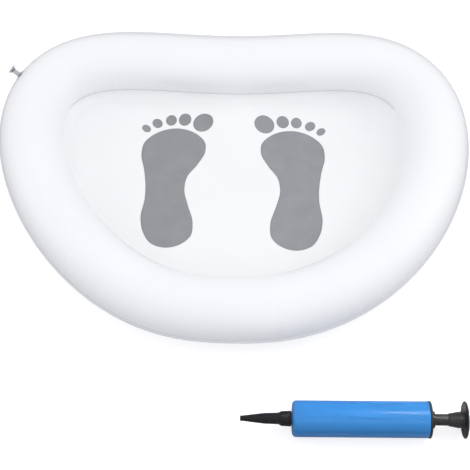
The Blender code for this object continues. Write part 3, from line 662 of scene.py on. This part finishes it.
def makeFootprint(side, hand):
    # the sole is a ladder of rungs between its two sides; each toe is an oval of rings
    leftPoints, rightPoints = footprint["leftSide"], footprint["rightSide"]
    leftEdge = smoothCurve([rightPoints[1], *leftPoints, rightPoints[-2]], footprint["edgePoints"])
    rightEdge = smoothCurve([leftPoints[1], *rightPoints, leftPoints[-2]], footprint["edgePoints"])
    across = np.linspace(0, 1, footprint["rungs"])[None, :, None]
    addPrint(side + "Sole", leftEdge[:, None] * (1 - across) + rightEdge[:, None] * across, side, hand,
             side + "_sole_print")
    around = np.arange(footprint["toeSteps"]) / footprint["toeSteps"] * 2 * np.pi
    rings = np.linspace(0, 1, footprint["toeRings"])[:, None]
    for number, (x, y, halfWidth, halfHeight, turn) in enumerate(footprint["toes"], 1):
        ovalX, ovalY = rings * halfWidth * np.cos(around), rings * halfHeight * np.sin(around)
        c, s = math.cos(math.radians(turn)), math.sin(math.radians(turn))
        oval = np.stack([x + ovalX * c - ovalY * s, y + ovalX * s + ovalY * c], axis=-1)
        addPrint(f"{side}Toe{number}", oval, side, hand, f"{side}_toe_print_{number}", loopColumns=True)


makeFootprint("left", 1)
makeFootprint("right", -1)
print("footprints made")


# Valve

valve = {
    "origin": (-0.357656, 0.190222, 0.063514),
    "zAxis": (-0.799147, 0.38676, 0.460197),
    "xAxis": (-0.414235, 0.200476, -0.887817),
    "yAxis": (-0.435631, -0.900126, 0.0),
    "flangeRadius": 0.0090,
    "flangeEdge": 0.0004,  # its thickness at the edge and at the collar
    "flangeRoot": 0.0009,
    "flangeSoft": 0.0004,  # how far the corners are rounded
    "collarRadius": 0.0056,
    "collarHeight": 0.0018,
    "stemRadius": 0.0040,
    "stemSoft": 0.0003,
    "boreRadius": 0.0031,
    "reach": 0.0150,
    "root": 0.0020,
    "rimRadius": 0.0048,
    "rimThickness": 0.0012,
    "ringRadius": 0.0052,
    "ringThickness": 0.0012,
    "headRadius": 0.0068,
    "headThickness": 0.0024,
    "headSoft": 0.0005,
    "dish": (0.0025, 0.0035, 0.0004),  # inner and outer radius and depth
    "plugRadius": 0.0028,
    "plugTaper": 0.00075,
    "plugLength": 0.0030,
    "strapThickness": 0.0010,
    "strapWidth": 0.0032,
    "strapRows": 16,
    "strapSteps": 24,
    "strapRound": 0.4,  # the power that makes the strap's oblong of an oval
    "strapFoot": 0.0006,  # over which the strap thins towards the ring, down to its least share
    "strapLeast": 0.35,
}

valvePlace = Matrix((valve["xAxis"], valve["yAxis"], valve["zAxis"])).transposed().to_4x4()
valvePlace.translation = valve["origin"]


def addTurned(name, corners, soft, place, material, body, node, steps=96, closed=True):
    # corners of radius and height, softened and carried round the place's Z axis
    mesh = turnedMesh(name, softCorners(corners, soft), place, steps, closed)
    addPiece(name, mesh, material, body, [node])


def makeValve():
    # every piece but the strap is turned round the valve's axis, which starts at the film and runs outwards
    v = valve
    gap = bean["gap"]
    bore = v["stemRadius"] + gap
    addTurned("valveFlange", [(v["collarRadius"], v["collarHeight"]), (v["collarRadius"], gap + v["flangeRoot"]),
                              (v["flangeRadius"], gap + v["flangeEdge"]), (v["flangeRadius"], gap), (bore, gap),
                              (bore, v["collarHeight"])],
              v["flangeSoft"], valvePlace, clearVinyl, "bath", "valve_flange")
    rimFoot = v["reach"] - v["rimThickness"]
    addTurned("valveStem", [(v["rimRadius"], v["reach"]), (v["rimRadius"], rimFoot), (v["stemRadius"], rimFoot),
                            (v["stemRadius"], -v["root"]), (v["boreRadius"], -v["root"]),
                            (v["boreRadius"], v["reach"])],
              v["stemSoft"], valvePlace, clearVinyl, "valve", "valve_stem")
    ringTop = v["reach"] - v["rimThickness"] - gap
    addTurned("strapRing", [(v["ringRadius"], ringTop), (v["ringRadius"], ringTop - v["ringThickness"]),
                            (bore, ringTop - v["ringThickness"]), (bore, ringTop)],
              v["stemSoft"], valvePlace, clearVinyl, "valve", "strap_ring")
    under = v["reach"] + gap
    top = under + v["headThickness"]
    plugEnd = under - v["plugLength"]
    dishInner, dishOuter, dishDepth = v["dish"]
    addTurned("valveCap", [(0, top - dishDepth), (dishInner, top - dishDepth), (dishOuter, top),
                           (v["headRadius"], top), (v["headRadius"], under), (v["plugRadius"], under),
                           (v["plugRadius"] - v["plugTaper"], plugEnd), (0, plugEnd)],
              v["headSoft"], valvePlace, clearCap, "valve_cap", "valve_cap", closed=False)
    makeStrap(ringTop)


def makeStrap(ringTop):
    # a flat band from the cap's edge round to the ring on the stem; its cross-section is a rounded oblong
    v = valve
    half = v["strapThickness"] / 2
    x = v["ringRadius"] + bean["gap"] + half
    low = ringTop - v["ringThickness"] / 2
    high = v["reach"] + bean["gap"] + v["headThickness"] / 2
    heights = np.linspace(low, high, v["strapRows"])
    around = np.arange(v["strapSteps"]) / v["strapSteps"] * 2 * np.pi
    oblongX = half * np.sign(np.cos(around)) * np.abs(np.cos(around)) ** v["strapRound"]
    oblongY = v["strapWidth"] / 2 * np.sign(np.sin(around)) * np.abs(np.sin(around)) ** v["strapRound"]
    taper = np.clip((heights - low) / v["strapFoot"], v["strapLeast"], 1)[:, None]
    grid = np.stack([x + taper * oblongX, 0 * taper + oblongY, heights[:, None] + 0 * oblongX], axis=-1)
    ends = [np.broadcast_to(grid[i].mean(axis=0), grid[i].shape)[None] for i in (0, -1)]
    mesh = gridMesh("capStrap", inPlace(np.concatenate([ends[0], grid, ends[1]]), valvePlace), loopColumns=True)
    mergeDoubles(mesh, turnOutwards=True)
    addPiece("capStrap", mesh, clearCap, "valve_cap", [])


makeValve()
print("valve made")


# Pump

pump = {
    "place": (0.0838, -0.4008, 0.0266),
    "turn": -0.5,
    "gap": 0.0003,
    "barrelRadius": 0.0260,
    "wall": 0.0015,
    "length": 0.1942,
    "round": 0.0060,
    "noseRadius": 0.0180,  # of the flat middle of the barrel's front end
    "noseSoft": 0.0003,
    "endWall": 0.0035,
    "bossRadius": 0.0092,
    "bossHeight": 0.0010,
    "spigotRadius": 0.0062,
    "spigotLength": 0.0130,
    "spigotBore": 0.0042,
    "seatWall": 0.0015,
    "port": 0.0022,
    "chamfer": 0.0003,  # at the barrel's rear edge, and the smaller one inside it
    "innerChamfer": 0.0002,
    "barrelSteps": 160,
    "nozzle": ((0.0112, 0.0), (0.0105, 0.0138), (0.0082, 0.0181), (0.0077, 0.0378), (0.0038, 0.0700),
               (0.0038, 0.0728)),
    "nozzleBore": 0.0015,
    "nozzleSoft": 0.0005,
    "capRadius": 0.0266,
    "capThickness": 0.0032,
    "capPlug": 0.0080,
    "capSoft": 0.0008,
    "bushRadius": 0.0122,
    "bushThickness": 0.0052,
    "bushShank": 0.0100,
    "bushSoft": 0.0006,
    "rodRadius": 0.0082,
    "rodReach": 0.0201,  # from the bush to the handle
    "rodSoft": 0.0005,
    "rodInside": 0.0147,  # how deep the rod sits in the handle, and how deep its socket is
    "socketDepth": 0.0150,
    "piston": (0.0030, 0.0014, 0.0120),  # from the end wall: the retainer's room, its thickness and the piston's
    "studRadius": 0.0040,
    "studStart": 0.0027,
    "flare": 0.0135,
    "flareEdge": 0.0005,
    "hubRadius": 0.0115,
    "handle": 0.0222,
    "handleSoft": 0.0014,
    "handleSteps": 128,
    "discRadius": 0.0266,
    "discInset": 0.001,  # of the faces' edges
    "discHeights": (0.0038, 0.0034, 0.0030, 0.0020, 0.0010),  # at the middle, halfway, edge, and down its rim
}

pumpPlace = (Matrix.Translation(pump["place"]) @ Matrix.Rotation(math.radians(pump["turn"]), 4, "Z")
             @ Matrix.Rotation(math.pi / 2, 4, "Y"))


def makeBarrel():
    # quarter circles round the front edge outside and inside, and a stepped nose with the spigot and its bore
    p = pump
    edge = p["chamfer"]
    t = np.linspace(0, np.pi / 2, meshing["roundRows"])
    outerRound = np.stack([p["barrelRadius"] - p["round"] + p["round"] * np.cos(t),
                           p["round"] - p["round"] * np.sin(t)], axis=1)
    bore, innerRound = p["barrelRadius"] - p["wall"], p["round"] - p["wall"]
    inner = np.stack([bore - innerRound + innerRound * np.cos(t[::-1]),
                      p["endWall"] + innerRound - innerRound * np.sin(t[::-1])], axis=1)
    seat = p["endWall"] - p["seatWall"]
    nose = softCorners([(p["noseRadius"], 0), (p["bossRadius"], 0), (p["bossRadius"], -p["bossHeight"]),
                        (p["spigotRadius"], -p["bossHeight"]), (p["spigotRadius"], -p["spigotLength"]),
                        (p["spigotBore"], -p["spigotLength"]), (p["spigotBore"], seat), (p["port"], seat),
                        (p["port"], p["endWall"]), (p["noseRadius"], p["endWall"])], p["noseSoft"], 3)
    rear = [(bore, p["length"] - edge), (bore + p["innerChamfer"], p["length"]),
            (p["barrelRadius"] - edge, p["length"])]
    profile = np.vstack([[(p["barrelRadius"], p["length"] - edge)], outerRound, nose, inner, rear])
    addPiece("barrel", turnedMesh("barrel", profile, pumpPlace, p["barrelSteps"]), bluePlastic, "pump",
             ["pump_barrel"])


def makeNozzle():
    # steps of radius and distance from the boss outside; inside, a socket over the spigot and a narrow bore
    p = pump
    top = -p["bossHeight"] - p["gap"]
    outer = [(radius, top - along) for radius, along in p["nozzle"]]
    socket, socketEnd = p["spigotRadius"] + p["gap"], -p["spigotLength"] - p["gap"]
    inner = [(p["nozzleBore"], outer[-1][1]), (p["nozzleBore"], outer[3][1]), (p["spigotBore"], socketEnd),
             (socket, socketEnd), (socket, top)]
    addTurned("nozzlePiece", outer + inner, p["nozzleSoft"], pumpPlace, blackNozzle, "nozzle",
              "nozzle")


def makeEndCap():
    # a disc with a plug in the barrel, and a bush through it; gives the height of the bush's outer face
    p = pump
    face = p["length"] + p["gap"]
    top = face + p["capThickness"]
    inner = p["length"] - p["capPlug"]
    plug, hole = p["barrelRadius"] - p["wall"] - p["gap"], p["bushShank"] + p["gap"]
    addTurned("endCap", [(p["capRadius"], top), (p["capRadius"], face), (plug, face), (plug, inner),
                         (hole, inner), (hole, top)],
              p["capSoft"], pumpPlace, blackPlastic, "pump", "pump_end_cap", p["barrelSteps"])
    bore = p["rodRadius"] + p["gap"]
    foot = top + p["gap"]
    outside = foot + p["bushThickness"]
    addTurned("bush", [(p["bushRadius"], outside), (p["bushRadius"], foot), (p["bushShank"], foot),
                       (p["bushShank"], inner), (bore, inner), (bore, outside)],
              p["bushSoft"], pumpPlace, blackPlastic, "pump", "rod_bush")
    return outside


def makePlunger(bushTop):
    # a rod with a thin stud through the piston, and a handle that flares from the rod to a domed disc
    p = pump
    start = bushTop + p["rodReach"]
    disc = start + p["handle"]
    retainerRoom, retainer, head = p["piston"]
    rodFoot = p["endWall"] + retainerRoom + retainer + p["gap"] + head + p["gap"]
    studFoot = p["endWall"] + p["studStart"]
    addTurned("rod", [(0, start + p["rodInside"]), (p["rodRadius"], start + p["rodInside"]),
                      (p["rodRadius"], rodFoot), (p["studRadius"], rodFoot), (p["studRadius"], studFoot),
                      (0, studFoot)],
              p["rodSoft"], pumpPlace, blackPlastic, "plunger", "plunger_rod", closed=False)
    socket = p["rodRadius"] + p["gap"]
    rim, hub, inset = p["discRadius"], p["hubRadius"], p["discInset"]
    middle, halfway, edge, upper, lower = (disc + height for height in p["discHeights"])
    addTurned("handle", [(0, middle), (rim / 2, halfway), (rim - inset, edge), (rim, upper), (rim, lower),
                         (rim - inset, disc), (hub, disc), (hub, start + p["flare"]),
                         (socket + p["flareEdge"], start), (socket, start), (socket, start + p["socketDepth"]),
                         (0, start + p["socketDepth"])],
              p["handleSoft"], pumpPlace, blackPlastic, "plunger", "plunger_handle",
              p["handleSteps"], closed=False)


makeBarrel()
makeNozzle()
makePlunger(makeEndCap())
print("pump made")


# Inner pieces that keep their CAD solids

for node, material in (("valve_flap", clearVinyl), ("outlet_insert", greyNylon), ("outlet_check_disc", blackRubber),
                       ("piston_head", greyNylon), ("piston_seal", blackRubber), ("rod_retainer", greyNylon)):
    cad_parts[node].data.materials.clear()
    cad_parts[node].data.materials.append(material)


# Ground and light

studio = {
    "ground": 40.0,
    "groundSquares": 8,
    "groundDrop": 0.0002,  # below the part, so that their faces don't lie in each other
    "groundRoughness": 0.9,
    "groundColour": (0.45, 0.45, 0.47),
    "groundGlow": 0.70,  # seen straight or through the clear valve, so that the ground is as pale as a lit backdrop
    "world": 0.74,
    "worldColour": (0.97, 0.98, 1.0),
    "aim": (0.0, -0.1, 0.0),
    "pumpAim": (0.20, -0.40, 0.02),
    "glintAim": (0.235, -0.40, 0.045),
    "wide": 180.0,
    "narrow": 10.0,  # degrees, for strips that light the pump and not the bath
    "lights": (  # name, place, length, width, power, aim, spread
        ("ceiling", (0.3, 0.1, 2.4), 3.2, 2.8, 10.0, "aim", "wide"),
        ("leftBox", (-1.8, 0.1, 1.0), 1.2, 1.2, 5.0, "aim", "wide"),
        ("rightBox", (1.8, 0.0, 1.1), 1.2, 1.2, 7.5, "aim", "wide"),
        ("frontBox", (-0.2, -1.5, 1.6), 2.4, 0.7, 3.0, "aim", "wide"),
        ("backBox", (0.0, 2.3, 1.2), 3.0, 1.4, 2.0, "aim", "wide"),
        ("pumpStrip", (0.58, 0.05, 1.14), 0.36, 0.05, 0.105, "pumpAim", "narrow"),
        ("pumpGlint", (0.41, 0.05, 1.14), 0.18, 0.03, 0.0019, "glintAim", "narrow"),
    ),
}


def makeGround():
    # a flat square that glows where it is seen, and is grey to the light that it throws back
    across = np.linspace(-studio["ground"], studio["ground"], studio["groundSquares"] + 1)
    x, y = np.meshgrid(across, across, indexing="ij")
    mesh = gridMesh("ground", np.stack([x, y, 0 * x - studio["groundDrop"]], axis=-1))
    ground = bpy.data.objects.new("ground", mesh)
    scene.collection.objects.link(ground)
    material, tree, shader = newMaterial("groundWhite", studio["groundColour"], studio["groundRoughness"])
    rays = addNode(tree, "ShaderNodeLightPath")
    seen = addNode(tree, "ShaderNodeMath", operation="MAXIMUM")
    glow = addNode(tree, "ShaderNodeMath", {1: studio["groundGlow"]}, operation="MULTIPLY")
    shader.inputs["Emission Color"].default_value = (1, 1, 1, 1)
    tree.links.new(rays.outputs["Is Camera Ray"], seen.inputs[0])
    tree.links.new(rays.outputs["Is Transmission Ray"], seen.inputs[1])
    tree.links.new(seen.outputs[0], glow.inputs[0])
    tree.links.new(glow.outputs[0], shader.inputs["Emission Strength"])
    mesh.materials.append(material)


def makeLights():
    # each light looks from its place at its aim, with its length across the picture
    world = bpy.data.worlds.new("studio")
    scene.world = world
    world.use_nodes = True
    background = world.node_tree.nodes["Background"]
    background.inputs["Color"].default_value = (*studio["worldColour"], 1)
    background.inputs["Strength"].default_value = studio["world"]
    for name, place, length, width, power, aim, spread in studio["lights"]:
        data = bpy.data.lights.new(name, "AREA")
        data.shape = "RECTANGLE"
        data.size, data.size_y = length, width
        data.energy = power
        data.spread = math.radians(studio[spread])
        light = bpy.data.objects.new(name, data)
        away = (Vector(place) - Vector(studio[aim])).normalized()
        along = (Vector((1, 0, 0)) - away * away.x).normalized()
        turn = Matrix((along, away.cross(along), away)).transposed().to_4x4()
        light.matrix_world = Matrix.Translation(place) @ turn
        scene.collection.objects.link(light)


makeGround()
makeLights()
scene.view_settings.view_transform = "Standard"
print("ground and lights made")
